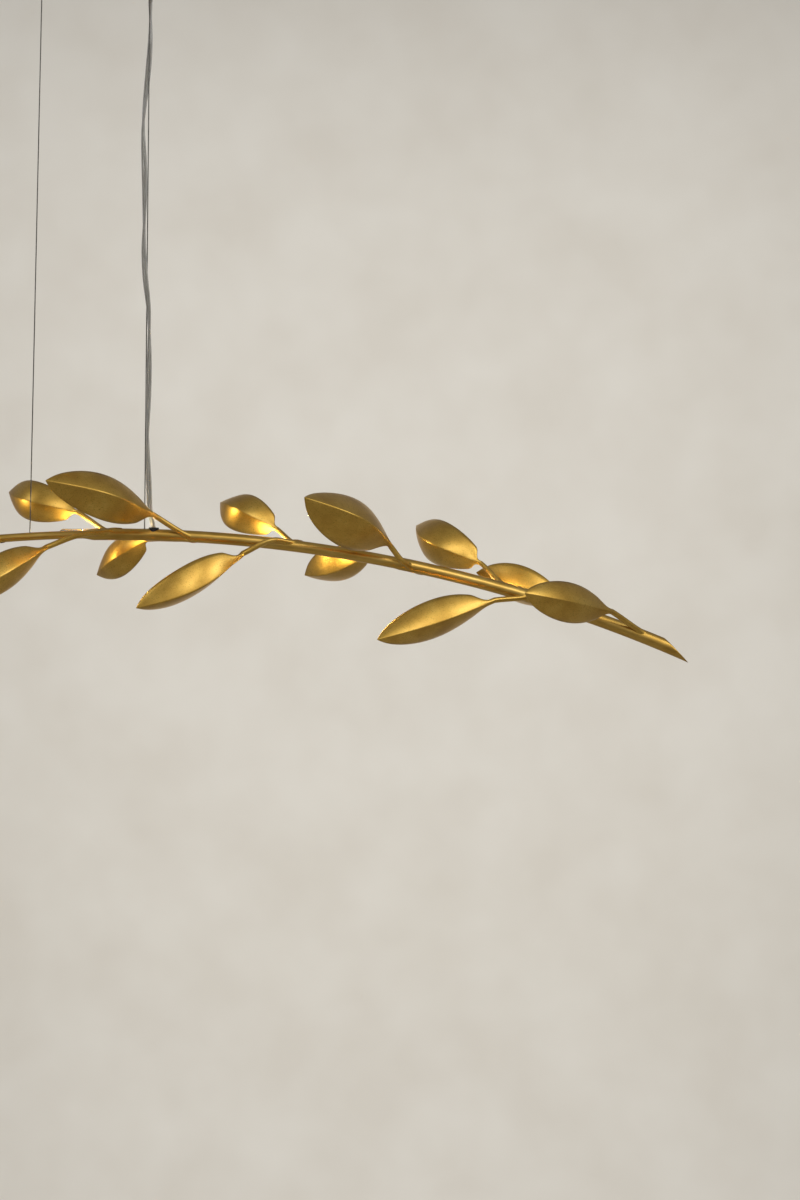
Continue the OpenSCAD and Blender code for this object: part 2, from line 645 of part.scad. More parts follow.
// Path of a wire through its gripper: straight up, then out at the side
turn_z = barrel_low + 12;
turn_r = 3;
turn_deg = 55;
module wire_way(s, d, low, out) {
    mirror([s > 0 ? 0 : 1, 0, 0]) translate([wire_gap_top / 2, 0, 0]) {
        translate([0, 0, low]) cylinder(d = d, h = turn_z - low);
        translate([turn_r, 0, turn_z]) rotate([90, 0, 0])
            rotate_extrude(angle = turn_deg, start = 180 - turn_deg)
                translate([turn_r, 0]) circle(d = d);
        translate([turn_r - turn_r * cos(turn_deg), 0, turn_z + turn_r * sin(turn_deg)])
            rotate([0, turn_deg, 0]) cylinder(d = d, h = out);
    }
}
module gripper_barrel(s) {
    lug_r = 4;
    x = s * wire_gap_top / 2;
    color("gold") difference() {
        union() {
            translate([x, 0, barrel_low]) cylinder(d = barrel_d, h = barrel_l - 1.5);
            translate([x, 0, barrel_top - 1.5])
                cylinder(d1 = barrel_d, d2 = barrel_d - 3, h = 1.5);
            translate([x - lug_t / 2, -lug_r, barrel_top - 1])
                cube([lug_t, 2 * lug_r, pin_z - barrel_top + 1]);
            translate([x, 0, pin_z]) rotate([0, 90, 0]) cylinder(r = lug_r, h = lug_t, center = true);
        }
        translate([x, 0, pin_z]) rotate([0, 90, 0])
            cylinder(d = pin_d + 2 * run_gap, h = 3 * lug_t, center = true);
        translate([x, 0, barrel_low - 1]) cylinder(d = nose_d + 2 * run_gap, h = lip_t + 2);
        translate([x, 0, barrel_low + lip_t]) cylinder(r = cavity_r, h = 8);
        wire_way(s, wire_d + 1, barrel_low + 5, 12);
    }
}
tail_gap = 0.12;
function tail_bend(s, a) = [side_x(s, wire_gap_top) + s * turn_r * (1 - cos(a)), 0, turn_z + turn_r * sin(a)];
module wire_tails() {
    low = bend_z + wire_d / 2 + tail_gap;
    for (s = [-1, 1]) {
        route = [
            for (z = [low, barrel_low + 3, turn_z - 2]) [side_x(s, wire_gap_top), 0, z],
            for (a = [0:11:turn_deg]) tail_bend(s, a),
            for (d = [3, 9]) tail_bend(s, turn_deg) + d * [s * sin(turn_deg), 0, cos(turn_deg)]
        ];
        color("dimgray") sweep(route, wire_d / 2, 8, [0, 1, 0]);
    }
}
flange_t = 1.5;
flange_z = barrel_low + lip_t + seat_gap;
module plunger(s) {
    x = s * wire_gap_top / 2;
    color("silver") difference() {
        union() {
            translate([x, 0, nose_low]) cylinder(d = nose_d, h = flange_z - nose_low + 0.5);
            translate([x, 0, flange_z]) cylinder(r = cavity_r - run_gap, h = flange_t);
        }
        translate([x, 0, nose_low - 1]) cylinder(d = wire_d + 0.8, h = 20);
        translate([x, 0, nose_low - eps]) cylinder(d1 = wire_d + 2.2, d2 = wire_d + 0.8, h = 2.4);
    }
}
spring_turns = 5;
spring_rings = 8;
module spring(s) {
    low = flange_z + flange_t + spring_wire / 2 + seat_gap;
    high = barrel_low + lip_t + 8 - spring_wire / 2 - seat_gap;
    mean_r = 2.3;
    steps = spring_turns * spring_rings;
    route = [for (k = [0:steps]) let (a = 360 * k / spring_rings)
        [s * wire_gap_top / 2 + mean_r * cos(a), mean_r * sin(a), low + (high - low) * k / steps]];
    color("lightsteelblue") sweep(route, spring_wire / 2, 6, [0, 0, 1]);
    echo(spring_pitch_gap = (high - low) / spring_turns - spring_wire);
}

// Driver, terminals and leads on the canopy's floor
floor_z = plate_z + canopy_t + seat_gap;
driver_x = -5;
driver_y = 33;
driver_hole = driver_l / 2 - 5;
foot_t = 2;
module rounded_plate(l, w, h, r) {
    linear_extrude(h) {
        square([l - 2 * r, w], center = true);
        square([l, w - 2 * r], center = true);
        for (x = [-1, 1], y = [-1, 1]) translate([x * (l / 2 - r), y * (w / 2 - r)]) circle(r);
    }
}
module led_driver() {
    color("white") translate([driver_x, driver_y, floor_z]) difference() {
        union() {
            rounded_plate(driver_l, driver_w * 0.5, foot_t, 3);
            rounded_plate(driver_l - 20, driver_w, driver_h, 2);
        }
        for (s = [-1, 1]) translate([s * driver_hole, 0, -1]) cylinder(r = 1.75, h = foot_t + 2);
        for (y = [-1, 1]) translate([driver_l / 2 - 12, y * 3, driver_h / 2])
            rotate([0, 90, 0]) cylinder(r = 1.2, h = 6);
        for (y = [-1, 1]) translate([-driver_l / 2 + 6, y * 4, driver_h / 2])
            rotate([0, 90, 0]) cylinder(r = 1.4, h = 6);
    }
}
module driver_screws() {
    for (s = [-1, 1]) color("silver") translate([driver_x + s * driver_hole, driver_y, 0]) {
        translate([0, 0, plate_z - 0.4]) cylinder(r = 1.5, h = floor_z + foot_t - plate_z + 1);
        translate([0, 0, floor_z + foot_t + seat_gap]) cylinder(r = 2.8, h = 1.6);
        translate([0, 0, plate_z - 1.7]) cylinder(r1 = 1.8, r2 = 2.6, h = 1.6);
    }
}
block_y = -30;
block_l = 30;
block_w = 16;
block_h = 13;
pole_gap = 9;
pole_d = 3.2;
module terminal_block() {
    color("white") translate([0, block_y, floor_z]) difference() {
        union() {
            rounded_plate(block_l, block_w, block_h - 3, 1.5);
            for (p = [-1:1]) translate([p * pole_gap, 0, 0])
                rounded_plate(pole_gap - 1.6, block_w - 2, block_h, 1);
        }
        for (p = [-1:1]) {
            translate([p * pole_gap, 0, block_h / 2 - 1.5]) rotate([90, 0, 0])
                cylinder(d = pole_d, h = 2 * block_w, center = true);
            for (y = [-1, 1]) translate([p * pole_gap, y * 4, 3]) cylinder(d = pole_d, h = block_h);
        }
    }
}
module terminal_screws() {
    for (p = [-1:1], y = [-1, 1])
        color("gold") translate([p * pole_gap, block_y + y * 4, floor_z + block_h - 5.5]) difference() {
            cylinder(d = pole_d - 2 * run_gap, h = 4.5);
            translate([0, 0, 4.2]) cube([4, 0.6, 1.2], center = true);
        }
}
earth_r = 1.6;
module earth_screw() {
    color("gold") translate([0, bracket_w / 4, 0]) {
        translate([0, 0, -bracket_t - 4]) cylinder(r = earth_r - run_gap, h = bracket_t + 3.8);
        translate([0, 0, -bracket_t - 2.4]) cylinder(r = 3, h = 2.3);
    }
}
bush_neck_d = 9;
module cord_bush() {
    color([0.1, 0.1, 0.1]) translate([bush_x, bush_y, 0]) difference() {
        union() {
            translate([0, 0, bush_low]) cylinder(r1 = bush_bore_d / 2 + 0.9, r2 = 5.6, h = plate_z - bush_low - 2);
            translate([0, 0, plate_z - 2 - eps]) cylinder(r = 6.4, h = 2 - seat_gap);
            translate([0, 0, plate_z - 1]) cylinder(d = bush_neck_d, h = canopy_t + 3);
            translate([0, 0, floor_z + eps]) cylinder(r1 = 5.4, r2 = 4.6, h = 2);
        }
        translate([0, 0, bush_low - 1]) cylinder(d = bush_bore_d, h = 40);
    }
}
module canopy_lead() {
    color("lightgray") sweep(fine_route(CANOPY_ROUTE, 2), cord_d / 2, 8, [0, 0.6, 0.8]);
}

ceiling_bracket();
canopy_cup();
canopy_side_screws();
clevis(-1);  // clevis_left
clevis(1);  // clevis_right
clevis_nuts();
clevis_pins();
led_driver();
driver_screws();
terminal_block();
terminal_screws();
earth_screw();
cord_bush();
canopy_lead();
gripper_barrel(-1);  // gripper_barrel_left
gripper_barrel(1);  // gripper_barrel_right
wire_tails();
plunger(-1);  // plunger_left
plunger(1);  // plunger_right
spring(-1);  // spring_left
spring(1);  // spring_right
wire(-1);  // wire_left
wire(1);  // wire_right
wire_stop(-1);  // wire_stop_left
wire_stop(1);  // wire_stop_right
power_cord();
cord_grommet();
stem_tube(0);  // stem_base
stem_tube(1);  // stem_lower
stem_tube(2);  // stem_middle
stem_tube(3);  // stem_upper
stem_tube(4);  // stem_tip
stem_sleeves();
stem_reducers();
stem_end_plate();
stem_lead();
lamp_arms();
lamp_sockets();
bulbs();
for (i = [0:len(LEAVES) - 1])
    leaf(i);
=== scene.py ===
import math
import bpy
import bmesh
from mathutils import Matrix, Vector


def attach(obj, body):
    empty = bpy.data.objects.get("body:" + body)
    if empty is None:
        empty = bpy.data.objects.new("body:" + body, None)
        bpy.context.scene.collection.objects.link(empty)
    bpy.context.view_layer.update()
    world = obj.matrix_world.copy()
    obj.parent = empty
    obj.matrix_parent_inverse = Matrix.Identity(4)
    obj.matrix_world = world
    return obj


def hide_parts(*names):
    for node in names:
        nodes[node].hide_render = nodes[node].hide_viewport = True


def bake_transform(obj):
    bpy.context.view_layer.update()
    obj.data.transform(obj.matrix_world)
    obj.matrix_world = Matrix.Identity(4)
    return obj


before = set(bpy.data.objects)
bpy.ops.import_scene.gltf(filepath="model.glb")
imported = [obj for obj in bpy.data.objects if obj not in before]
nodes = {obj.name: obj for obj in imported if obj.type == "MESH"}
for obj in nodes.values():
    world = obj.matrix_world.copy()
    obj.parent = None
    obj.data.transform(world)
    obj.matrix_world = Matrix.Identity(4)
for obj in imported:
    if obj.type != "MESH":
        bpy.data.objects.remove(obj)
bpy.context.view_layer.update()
scene = bpy.context.scene
mm = 0.001


# small helpers

def linear(hexColour, alpha=1.0):
    channels = [int(hexColour[i:i + 2], 16) / 255 for i in (1, 3, 5)]
    return (*[c / 12.92 if c <= 0.04045 else ((c + 0.055) / 1.055) ** 2.4 for c in channels], alpha)


def addNode(tree, kind, settings=None, links=None, **values):
    node = tree.nodes.new(kind)
    for name, value in (settings or {}).items():
        setattr(node, name, value)
    for name, value in values.items():
        # i3 stands for the fourth input, any other word for the input of that name
        numbered = name[0] == "i" and name[1:].isdigit()
        node.inputs[int(name[1:]) if numbered else name.replace("_", " ")].default_value = value
    for name, source in (links or {}).items():
        tree.links.new(source, node.inputs[name])
    return node


def newMaterial(name):
    material = bpy.data.materials.new(name)
    material.use_nodes = True
    tree = material.node_tree
    tree.nodes.clear()
    shader = tree.nodes.new("ShaderNodeBsdfPrincipled")
    output = tree.nodes.new("ShaderNodeOutputMaterial")
    tree.links.new(shader.outputs[0], output.inputs[0])
    return material, tree, shader


def ramp(tree, source, stops):
    node = addNode(tree, "ShaderNodeValToRGB", links={"Fac": source})
    elements = node.color_ramp.elements
    while len(elements) < len(stops):
        elements.new(0.5)
    for element, (place, colour) in zip(elements, stops):
        element.position = place
        element.color = linear(colour) if isinstance(colour, str) else (colour, colour, colour, 1)
    return node.outputs[0]


def noise(tree, vector, sizeMm, detail=3.0, roughness=0.55):
    return addNode(tree, "ShaderNodeTexNoise", links={"Vector": vector},
                   Scale=1 / (sizeMm * mm), Detail=detail, Roughness=roughness).outputs["Fac"]


def stretched(tree, source, scale):
    return addNode(tree, "ShaderNodeMapping", links={"Vector": source}, Scale=scale).outputs[0]


def objectPlace(tree):
    return addNode(tree, "ShaderNodeTexCoord").outputs["Object"]


def mixColour(tree, factor, a, b, blend="MIX"):
    node = addNode(tree, "ShaderNodeMix", {"data_type": "RGBA", "blend_type": blend})
    for index, value in ((0, factor), (6, a), (7, b)):
        if hasattr(value, "links"):
            tree.links.new(value, node.inputs[index])
        else:
            node.inputs[index].default_value = linear(value) if isinstance(value, str) else value
    return node.outputs[2]


def bump(tree, shader, height, strength, depthMm, normal=None):
    links = {"Height": height}
    if normal:
        links["Normal"] = normal
    node = addNode(tree, "ShaderNodeBump", links=links, Strength=strength, Distance=depthMm * mm)
    tree.links.new(node.outputs[0], shader.inputs["Normal"])
    return node.outputs[0]


def newPiece(name, points, faces, material, smooth=True):
    mesh = bpy.data.meshes.new(name)
    mesh.from_pydata([p * mm for p in points], [], faces)
    mesh.update()
    for polygon in mesh.polygons:
        polygon.use_smooth = smooth
    piece = bpy.data.objects.new(name, mesh)
    scene.collection.objects.link(piece)
    if material:
        mesh.materials.append(material)
    return piece


def ringFaces(rings, count, closed=True, first=0):
    faces = []
    for j in range(rings - 1):
        for i in range(count if closed else count - 1):
            a, b = first + j * count + i, first + j * count + (i + 1) % count
            faces.append((a, a + count, b + count, b))
    return faces


def squareTo(vector, way):
    return (vector - way * vector.dot(way)).normalized()


def smoothStep(s):
    s = min(1.0, max(0.0, s))
    return s * s * (3 - 2 * s)


# camera

camera = {"x": 313.8, "y": -2330.0, "z": -671.3, "rollDeg": 0.92, "lens": 69.9}

cameraData = bpy.data.cameras.new("camera")
cameraObject = bpy.data.objects.new("camera", cameraData)
scene.collection.objects.link(cameraObject)
cameraData.sensor_width = 36
cameraData.lens = camera["lens"]
cameraData.clip_end = 50
cameraObject.matrix_world = (
    Matrix.Translation(Vector((camera["x"], camera["y"], camera["z"])) * mm)
    @ Matrix.Rotation(math.radians(90), 4, "X") @ Matrix.Rotation(math.radians(camera["rollDeg"]), 4, "Z"))
scene.camera = cameraObject
scene.view_settings.view_transform = "Standard"
print("camera set")


# materials

def gildedSheet():
    # gold leaf laid by brush on folded sheet and lacquered: satin, with fine streaks and tiny worn specks
    look = {"deep": "#B68B38", "body": "#CAA046", "light": "#DAB45A", "worn": "#A88534", "streakMm": 0.8,
            "cloudMm": 22, "speckMm": 1.1, "roughness": (0.34, 0.46), "lacquer": 0.22}
    material, tree, shader = newMaterial("gildedSheet")
    place = objectPlace(tree)
    uv = addNode(tree, "ShaderNodeUVMap", {"uv_map": "leafMap"}).outputs[0]
    streaks = noise(tree, stretched(tree, uv, (1.0, 0.16, 1.0)), look["streakMm"], 4.0, 0.6)
    clouds = noise(tree, place, look["cloudMm"], 2.0)
    specks = noise(tree, place, look["speckMm"], 3.0, 0.6)
    base = ramp(tree, clouds, [(0.3, look["deep"]), (0.5, look["body"]), (0.72, look["light"])])
    fine = ramp(tree, streaks, [(0.3, look["deep"]), (0.65, look["light"])])
    colour = mixColour(tree, 0.3, base, fine)
    colour = mixColour(tree, ramp(tree, specks, [(0.35, 0.0), (0.44, 1.0)]), look["worn"], colour)
    tree.links.new(colour, shader.inputs["Base Color"])
    low, high = look["roughness"]
    rough = addNode(tree, "ShaderNodeMapRange", links={"Value": streaks}, i3=low, i4=high)
    tree.links.new(rough.outputs[0], shader.inputs["Roughness"])
    shader.inputs["Metallic"].default_value = 1.0
    shader.inputs["Coat Weight"].default_value = look["lacquer"]
    shader.inputs["Coat Roughness"].default_value = 0.28
    bump(tree, shader, specks, 0.5, 0.08)
    return material


def gildedTube():
    # gold leaf on bent tube, burnished smoother than the leaves and streaked along the tube
    look = {"deep": "#AE8434", "body": "#C69D49", "light": "#D8B462", "streakMm": 0.9, "roughness": (0.34, 0.42),
            "lacquer": 0.2}
    material, tree, shader = newMaterial("gildedTube")
    place = objectPlace(tree)
    streaks = noise(tree, stretched(tree, place, (0.05, 1.0, 1.0)), look["streakMm"], 4.0, 0.6)
    clouds = noise(tree, stretched(tree, place, (0.3, 1.0, 1.0)), 12, 2.0)
    base = ramp(tree, clouds, [(0.3, look["deep"]), (0.5, look["body"]), (0.75, look["light"])])
    colour = mixColour(tree, 0.3, base, ramp(tree, streaks, [(0.35, look["deep"]), (0.65, look["light"])]))
    tree.links.new(colour, shader.inputs["Base Color"])
    low, high = look["roughness"]
    rough = addNode(tree, "ShaderNodeMapRange", links={"Value": streaks}, i3=low, i4=high)
    tree.links.new(rough.outputs[0], shader.inputs["Roughness"])
    shader.inputs["Metallic"].default_value = 1.0
    shader.inputs["Coat Weight"].default_value = look["lacquer"]
    shader.inputs["Coat Roughness"].default_value = 0.2
    bump(tree, shader, streaks, 0.2, 0.03)
    return material


def metal(name, dark, light, grainMm, stretch, roughness):
    # turned or plated metal: fine tool marks catch the light along one direction
    material, tree, shader = newMaterial(name)
    grain = noise(tree, stretched(tree, objectPlace(tree), stretch), grainMm, 4.0, 0.6)
    tree.links.new(ramp(tree, grain, [(0.35, dark), (0.65, light)]), shader.inputs["Base Color"])
    rough = addNode(tree, "ShaderNodeMapRange", links={"Value": grain}, i3=roughness - 0.06, i4=roughness + 0.08)
    tree.links.new(rough.outputs[0], shader.inputs["Roughness"])
    shader.inputs["Metallic"].default_value = 1.0
    bump(tree, shader, grain, 0.2, 0.03)
    return material


def plastic(name, dark, light, grainMm, roughness, depthMm=0.02):
    # moulded polymer or rubber: an even colour with the faint pebble of the mould
    material, tree, shader = newMaterial(name)
    place = objectPlace(tree)
    grain = noise(tree, place, grainMm, 3.0)
    clouds = noise(tree, place, grainMm * 18, 2.0)
    tree.links.new(ramp(tree, clouds, [(0.35, dark), (0.65, light)]), shader.inputs["Base Color"])
    rough = addNode(tree, "ShaderNodeMapRange", links={"Value": grain}, i3=roughness - 0.05, i4=roughness + 0.05)
    tree.links.new(rough.outputs[0], shader.inputs["Roughness"])
    bump(tree, shader, grain, 0.25, depthMm)
    return material


def clearJacket():
    # clear PVC insulation: a soft hazy sheath that darkens what shows through it
    material, tree, shader = newMaterial("clearPvc")
    haze = noise(tree, objectPlace(tree), 8, 2.0)
    tree.links.new(ramp(tree, haze, [(0.3, "#C6C3BA"), (0.7, "#D6D4CC")]), shader.inputs["Base Color"])
    shader.inputs["Roughness"].default_value = 0.3
    shader.inputs["IOR"].default_value = 1.4
    shader.inputs["Transmission Weight"].default_value = 0.75
    return material


def tinnedStrands():
    # tinned copper strands: dull twisted wires seen through the jacket
    material, tree, shader = newMaterial("tinnedCopper")
    grain = noise(tree, stretched(tree, objectPlace(tree), (1, 1, 0.2)), 0.5, 3.0)
    tree.links.new(ramp(tree, grain, [(0.3, "#6B675E"), (0.7, "#948F83")]), shader.inputs["Base Color"])
    shader.inputs["Metallic"].default_value = 0.7
    shader.inputs["Roughness"].default_value = 0.45
    bump(tree, shader, grain, 0.3, 0.05)
    return material


def capsuleGlass():
    # pressed quartz capsule: clear and thin, so the lit core shows through
    material, tree, shader = newMaterial("capsuleGlass")
    haze = noise(tree, objectPlace(tree), 4, 2.0)
    tree.links.new(ramp(tree, haze, [(0.3, "#FFF8E8"), (0.7, "#FFFFFF")]), shader.inputs["Base Color"])
    shader.inputs["Roughness"].default_value = 0.04
    shader.inputs["Transmission Weight"].default_value = 1.0
    return material


def litPhosphor():
    # phosphor-coated LED core, lit: warm white with a faint random mottle
    material, tree, shader = newMaterial("litPhosphor")
    grain = noise(tree, objectPlace(tree), 1.2, 2.0)
    glow = ramp(tree, grain, [(0.3, "#FFD890"), (0.7, "#FFE9BC")])
    tree.links.new(glow, shader.inputs["Base Color"])
    tree.links.new(glow, shader.inputs["Emission Color"])
    shader.inputs["Emission Strength"].default_value = 18.0
    return material


leafGold = gildedSheet()
tubeGold = gildedTube()
canopyGold = metal("spunGold", "#8C6B2E", "#B8954C", 0.6, (1, 1, 0.2), 0.34)
brass = metal("turnedBrass", "#8A6A2E", "#C09A52", 0.4, (1, 1, 0.15), 0.3)
zinc = metal("zincPlate", "#8D8F90", "#BDBFC0", 0.8, (0.3, 1, 1), 0.38)
cable = metal("strandedSteel", "#5A5752", "#8C8983", 0.5, (1, 1, 0.2), 0.35)
springSteel = metal("springSteel", "#6A6B6D", "#A9ABAE", 0.4, (1, 1, 1), 0.25)
blackRubber = plastic("blackRubber", "#0C0C0C", "#161616", 0.4, 0.6)
whitePlastic = plastic("whitePolycarbonate", "#DADAD5", "#EDEDE8", 0.5, 0.45)
softWhite = plastic("whiteSilicone", "#D8D7D0", "#E8E7E0", 0.4, 0.55)
steatite = plastic("steatite", "#E4DECE", "#F2EDE0", 0.3, 0.5, 0.03)
jacket = clearJacket()
strands = tinnedStrands()
glass = capsuleGlass()
phosphor = litPhosphor()
print("materials made")


# the stem's arc

stem = {
    "radius": 1435.0, "drop": 610.0, "topX": 47.0, "rightX": 605.5, "leftX": -497.0,
    "jointX": (424.0, 314.0, 8.0, -225.0), "shoulder": (6.0, 6.0, 13.0, 6.0),
    "tubeR": (6.75, 6.4, 5.9, 4.0, 3.5), "wall": 1.0, "endCutDeg": 23.0,
}


def stemLean(x):
    return math.asin((x - stem["topX"]) / stem["radius"])


def stemAt(x):
    z = -stem["drop"] - stem["radius"] + math.sqrt(stem["radius"] ** 2 - (x - stem["topX"]) ** 2)
    return Vector((x, 0, z))


def along(x):
    return Vector((math.cos(stemLean(x)), 0, -math.sin(stemLean(x))))


def upward(x):
    return Vector((math.sin(stemLean(x)), 0, math.cos(stemLean(x))))


def beside(x, p):
    return stemAt(x) + along(x) * p[0] + Vector((0, -1, 0)) * p[1] + upward(x) * p[2]


def roundStem(x, deg):
    return upward(x) * math.sin(math.radians(deg)) - Vector((0, 1, 0)) * math.cos(math.radians(deg))


def outerR(x):
    r = stem["tubeR"][-1]
    for j in (3, 2, 1, 0):
        grown = smoothStep((x - stem["jointX"][j] + stem["shoulder"][j]) / stem["shoulder"][j])
        r += (stem["tubeR"][j] - stem["tubeR"][j + 1]) * grown
    return r


def makeStem():
    sides, stepMm, straightMm = 40, 3.0, 60.0
    xs = []
    x = stem["leftX"]
    while x < stem["rightX"] - straightMm:
        xs.append(x)
        near = min(abs(x - j + s / 2) for j, s in zip(stem["jointX"], stem["shoulder"]))
        x += 0.8 if near < 10 else stepMm
    last = xs[-1]
    cut = math.radians(stem["endCutDeg"])

    def endAlong(height):
        # how far the slanting cut lies back from the tip at this height
        return -(height + stem["tubeR"][0]) / math.tan(cut)

    def ring(x, inset, share=None):
        r = outerR(x) - inset
        out = []
        for k in range(sides):
            a = 2 * math.pi * k / sides
            height, across = r * math.sin(a), r * math.cos(a)
            px = x
            if share is not None:
                reach = stem["rightX"] + endAlong(height) * math.cos(stemLean(stem["rightX"]))
                px = last + (reach - last) * share
            out.append(stemAt(px) + upward(px) * height + Vector((0, across, 0)))
        return out

    points = []
    inner = []
    for x in xs:
        points += ring(x, 0)
        inner += ring(x, stem["wall"])
    steps = 14
    for k in range(1, steps + 1):
        points += ring(stem["rightX"] - 40, 0, k / steps)
        inner += ring(stem["rightX"] - 40, stem["wall"], k / steps)
    rings = len(points) // sides
    shift = len(points)
    faces = ringFaces(rings, sides)
    faces += [tuple(reversed(f)) for f in ringFaces(rings, sides, first=shift)]
    for k in range(sides):
        n = (k + 1) % sides
        faces.append((k, n, shift + n, shift + k))
        e = (rings - 1) * sides
        faces.append((e + n, e + k, shift + e + k, shift + e + n))
    return newPiece("stemSkin", points + inner, faces, tubeGold)


suspension = {"gapTop": 108.0, "gapLow": 114.5, "bendZ": -71.0, "stopD": 3.0, "holeR": 1.2}


def stopAt(side):
    x = side * suspension["gapLow"] / 2
    rise = outerR(x) - stem["wall"] - 0.3 - suspension["stopD"] / 2
    return stemAt(x) + upward(x) * rise


def drill(piece, start, way, radius, length):
    # cuts a round hole from start along way
    mesh = bpy.data.meshes.new("drill")
    bm = bmesh.new()
    bmesh.ops.create_cone(bm, cap_ends=True, segments=24, radius1=radius * mm, radius2=radius * mm, depth=length * mm)
    bm.to_mesh(mesh)
    bm.free()
    cutter = bpy.data.objects.new("drill", mesh)
    scene.collection.objects.link(cutter)
    turn = Vector((0, 0, 1)).rotation_difference(way).to_matrix().to_4x4()
    cutter.matrix_world = Matrix.Translation((start + way * length / 2) * mm) @ turn
    modifier = piece.modifiers.new("drill", "BOOLEAN")
    modifier.operation, modifier.object, modifier.solver = "DIFFERENCE", cutter, "EXACT"
    bpy.context.view_layer.update()
    made = bpy.data.meshes.new_from_object(piece.evaluated_get(bpy.context.evaluated_depsgraph_get()))
    piece.modifiers.clear()
    piece.data = made
    bpy.data.objects.remove(cutter)


grommet = {"x": 66.4, "neckD": 7.4}
lampUnits = {"places": ((437, 178), (213, 178), (17.5, 176), (-207, 172), (-417, 172)), "off": 15.0,
             "carrierHalf": 4.0, "socketL": 12.0, "baseL": 8.0, "bulbL": 24.0, "bulbD": 10.0, "armD": 4.0}

stemPiece = makeStem()
for side in (-1, 1):
    drill(stemPiece, stopAt(side), Vector((0, 0, 1)), suspension["holeR"], 9)
drill(stemPiece, stemAt(grommet["x"]), upward(grommet["x"]), grommet["neckD"] / 2 + 0.1, 9)
for x, deg in lampUnits["places"]:
    drill(stemPiece, stemAt(x), roundStem(x, deg), lampUnits["armD"] / 2 + 0.1, 9)
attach(stemPiece, "branch")
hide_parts("stem_base", "stem_lower", "stem_middle", "stem_upper", "stem_tip", "stem_reducers")
print("stem made")


# leaves

# place on the stem, angle of the stalk round it, blade base and tip as (along, towards the viewer, up),
# turn about the leaf's own line, twist, half width, bow of the midrib, angle of the fold
leaves = {
    "sheet": 1.0, "stalkFrontD": 5.6, "stalkBackD": 4.8, "leanDeg": (18.0, 54.0), "curlDeg": 24.0,
    "baseFullness": {"front": 0.85, "back": 0.62}, "opening": {"front": 0.18, "back": 0.12},
    "tipFullness": 0.66, "tipSlope": 5.0,
    "rows": [
        (551, 38, (-33, 22, 11), (-124, 98, -5), 4, -2, 24, 11, 36),
        (549, 175, (-79, -31, 3), (-168, -67, 0), -30, -1, 29, 12, 44),
        (436, -34, (-26, 16, -14), (-126, 54, -84), -18, 17, 26, 11, 42),
        (412, 118, (-23, -16, 19), (-96, -79, 40), -17, 9, 31, 32, 45),
        (321, -2, (-21, 18, 15), (-111, 88, 42), 20, 18, 38, 26, 48),
        (322, 205, (-42, -23, 2), (-103, -74, -31), -29, 9, 26, 13, 39),
        (199, 34, (-41, 13, -14), (-135, 56, -80), -37, 26, 28, 20, 50),
        (202, 120, (-15, -20, 15), (-79, -66, 36), 3, 21, 26, 25, 40),
        (97, 22, (-28, 16, 18), (-129, 81, 45), 17, -14, 28, 22, 37),
        (97, 215, (-40, -26, -5), (-94, -66, -43), 6, 19, 23, 17, 42),
        (16, 118, (-28, -20, 23), (-106, -71, 46), -6, 1, 25, 28, 37),
        (13, 14, (-52, 15, -13), (-130, 81, -65), -20, 15, 23, 11, 38),
        (-92, 22, (-28, 15, 18), (-124, 76, 46), 17, -14, 27, 20, 36),
        (-92, 212, (-38, -24, -5), (-96, -66, -44), 8, 16, 22, 15, 40),
        (-195, 118, (-18, -20, 18), (-84, -70, 42), 3, 18, 24, 22, 38),
        (-199, 34, (-42, 13, -13), (-134, 58, -70), -36, 22, 25, 16, 48),
        (-300, 28, (-27, 16, 17), (-112, 80, 44), 16, -10, 27, 18, 38),
        (-303, 205, (-36, -20, -4), (-98, -66, -34), -24, 10, 23, 11, 36),
        (-403, 118, (-22, -18, 18), (-88, -66, 42), -8, 4, 24, 24, 38),
        (-407, -34, (-31, 14, -13), (-116, 54, -66), -18, 12, 24, 11, 40),
        (-491, 0, (-24, 0, 0), (-112, 8, 6), 6, 8, 21, 10, 34),
    ],
    "across": (0.0, 0.012, 0.03, 0.07, 0.14, 0.24, 0.36, 0.5, 0.66, 0.84, 1.0),
}


def foldProfile(foldDeg):
    # half of the blade's section: how far across, down and how tilted at each place from crease to edge
    fine, across, down = 500, 0.0, 0.0
    places = [(0.0, 0.0, 0.0)]
    for k in range(1, fine + 1):
        u = (k - 0.5) / fine
        tilt = math.radians(foldDeg + leaves["curlDeg"] * (u - 0.5)) * math.tanh(u / 0.014)
        across += math.cos(tilt) / fine
        down += math.sin(tilt) / fine
        places.append((across, down, tilt))
    return [(u, *places[round(u * fine)]) for u in leaves["across"]]


def bladeWidth(t, kind):
    # full along the middle and straight to a sharp tip
    slim, full = leaves["baseFullness"][kind], leaves["tipFullness"]
    swell = max(1e-4, math.sin(math.pi * t)) ** (slim + (full - slim) * smoothStep(t / 0.6))
    return (swell ** -6 + max(1e-4, leaves["tipSlope"] * (1 - t)) ** -6) ** (-1 / 6)


def stalkWay(x, v, rad, off, reach, r):
    # a stalk leaves the stem straight towards its blade, as far as its foot allows
    room = math.asin(0.85 * (reach - r) / reach)
    aside = max(-room, min(room, math.atan2(v.dot(off), v.dot(rad))))
    least, most = [math.radians(deg) for deg in leaves["leanDeg"]]
    lean = max(least, min(most, math.atan2(math.hypot(v.dot(off), v.dot(rad)), -v.dot(along(x)))))
    return (rad * math.cos(aside) + off * math.sin(aside)) * math.sin(lean) - along(x) * math.cos(lean)


